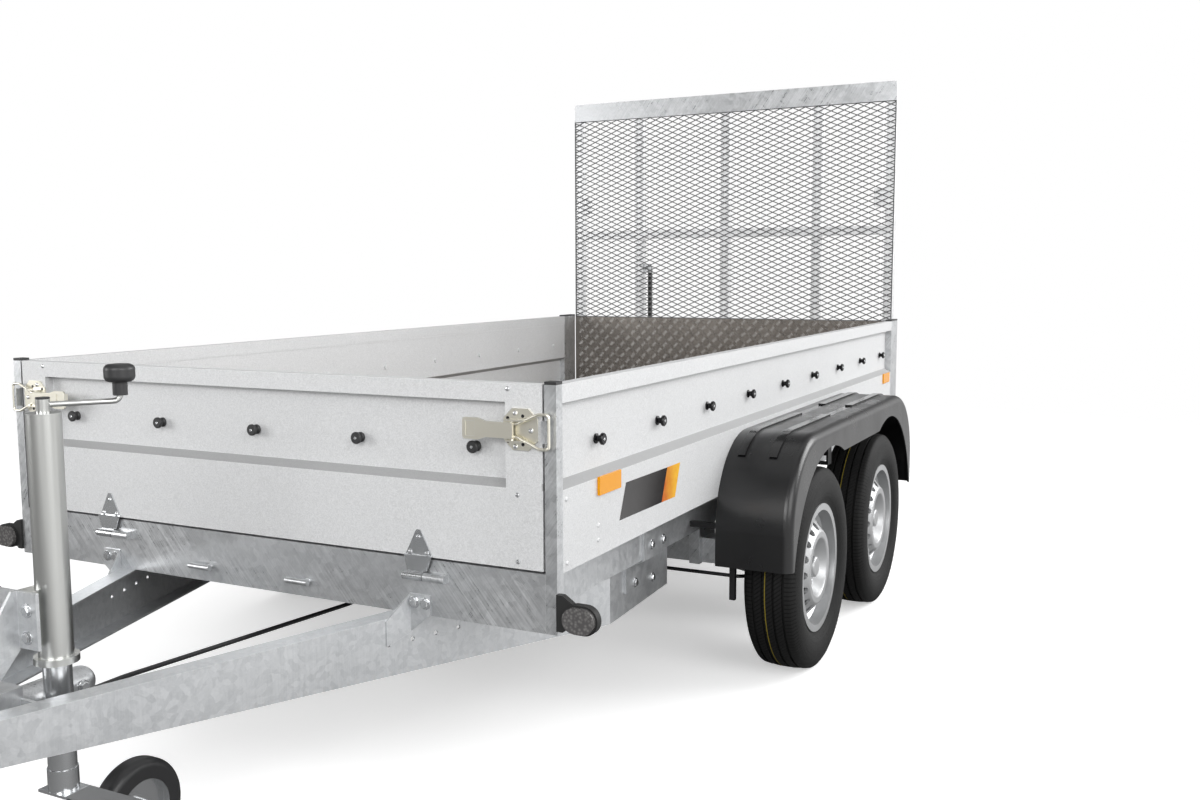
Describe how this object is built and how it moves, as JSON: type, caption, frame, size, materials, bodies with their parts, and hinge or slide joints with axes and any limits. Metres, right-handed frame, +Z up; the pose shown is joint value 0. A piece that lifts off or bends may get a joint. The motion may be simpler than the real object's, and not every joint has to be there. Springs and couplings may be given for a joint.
{
  "type": "two-axle utility trailer with ramp tailgate",
  "caption": "Open galvanised box trailer with braked tandem axles, V drawbar, jockey wheel, folding headboard and an upright mesh ramp tailgate.",
  "frame": {"origin": "on the ground at the middle of the whole trailer's footprint", "axes": "+X to the trailer's left, +Y to the rear, +Z up; the coupling points to -Y"},
  "size_m": [1.968, 4.439, 1.9075],
  "materials": {
    "galvanised": "hot-dip galvanised",
    "wall_sheet": "matte metallic",
    "floor_board": "sealed dark board",
    "yellow_zinc": "yellow passivated",
    "bright_zinc": "bright zinc",
    "black_paint": "semi-gloss",
    "black_plastic": "matte",
    "rubber_bellows": "matte",
    "tyre": "matte",
    "wheel_silver": "satin",
    "clear_lens": "gloss",
    "red_lens": "gloss"
  },
  "bodies": {
    "chassis": {"side_rail_left": "galvanised", "side_rail_right": "galvanised", "front_crossmember": "galvanised", "rear_crossmember": "galvanised", "floor_rungs": "galvanised", "load_floor": "floor_board", "side_panel_left": "wall_sheet", "side_panel_right": "wall_sheet", "corner_posts": "galvanised", "tie_knobs": "bright_zinc", "drawbar_beam_left": "galvanised", "drawbar_beam_right": "galvanised", "drawbar_fittings": "galvanised", "overrun_housing": "galvanised", "drawtube": "galvanised", "overrun_gaiter": "rubber_bellows", "coupling_head": "bright_zinc", "handbrake_lever": "black_paint", "jockey_tube": "bright_zinc", "jockey_crank": "bright_zinc", "axle_front": "galvanised", "axle_rear": "galvanised", "brake_linkage": "black_plastic", "fender_left": "black_plastic", "fender_right": "black_plastic", "fender_stays": "black_paint", "marker_lamps": "clear_lens", "rear_lamps": "red_lens"},
    "headboard": {"headboard": "wall_sheet", "headboard_hinges": "galvanised", "headboard_latches": "yellow_zinc"},
    "tailgate": {"gate_frame": "galvanised", "gate_mesh": "galvanised", "gate_cladding": "galvanised"},
    "jockey_slider": {"jockey_leg": "bright_zinc"},
    "jockey_swivel": {"jockey_fork": "bright_zinc"},
    "jockey_roller": {"jockey_wheel": "rubber_bellows"},
    "wheel_front_left": {"tyre_front_left": "tyre", "rim_front_left": "wheel_silver"},
    "wheel_front_right": {"tyre_front_right": "tyre", "rim_front_right": "wheel_silver"},
    "wheel_rear_left": {"tyre_rear_left": "tyre", "rim_rear_left": "wheel_silver"},
    "wheel_rear_right": {"tyre_rear_right": "tyre", "rim_rear_right": "wheel_silver"}
  },
  "joints": [
    {"name": "wheel_front_left_spin", "type": "hinge", "parent": "chassis", "child": "wheel_front_left", "pos_m": [0.894, 0.3715, 0.289], "axis": [1, 0, 0], "continuous": true},
    {"name": "wheel_front_right_spin", "type": "hinge", "parent": "chassis", "child": "wheel_front_right", "pos_m": [-0.894, 0.3715, 0.289], "axis": [1, 0, 0], "continuous": true},
    {"name": "wheel_rear_left_spin", "type": "hinge", "parent": "chassis", "child": "wheel_rear_left", "pos_m": [0.894, 1.1095, 0.289], "axis": [1, 0, 0], "continuous": true},
    {"name": "wheel_rear_right_spin", "type": "hinge", "parent": "chassis", "child": "wheel_rear_right", "pos_m": [-0.894, 1.1095, 0.289], "axis": [1, 0, 0], "continuous": true},
    {"name": "headboard_fold", "type": "hinge", "parent": "chassis", "child": "headboard", "pos_m": [0, -0.8945, 0.506], "axis": [1, 0, 0], "range_deg": [0, 100]},
    {"name": "tailgate_drop", "type": "hinge", "parent": "chassis", "child": "tailgate", "pos_m": [0, 2.1995, 0.51], "axis": [-1, 0, 0], "range_deg": [0, 109]},
    {"name": "jockey_height", "type": "slide", "parent": "chassis", "child": "jockey_slider", "axis": [0, 0, 1], "range_m": [0, 0.1]},
    {"name": "jockey_turn", "type": "hinge", "parent": "jockey_slider", "child": "jockey_swivel", "pos_m": [0.08, -1.4775, 0.2], "axis": [0, 0, 1], "continuous": true},
    {"name": "jockey_roll", "type": "hinge", "parent": "jockey_swivel", "child": "jockey_roller", "pos_m": [0.08, -1.3175, 0.1], "axis": [1, 0, 0], "continuous": true}
  ]
}
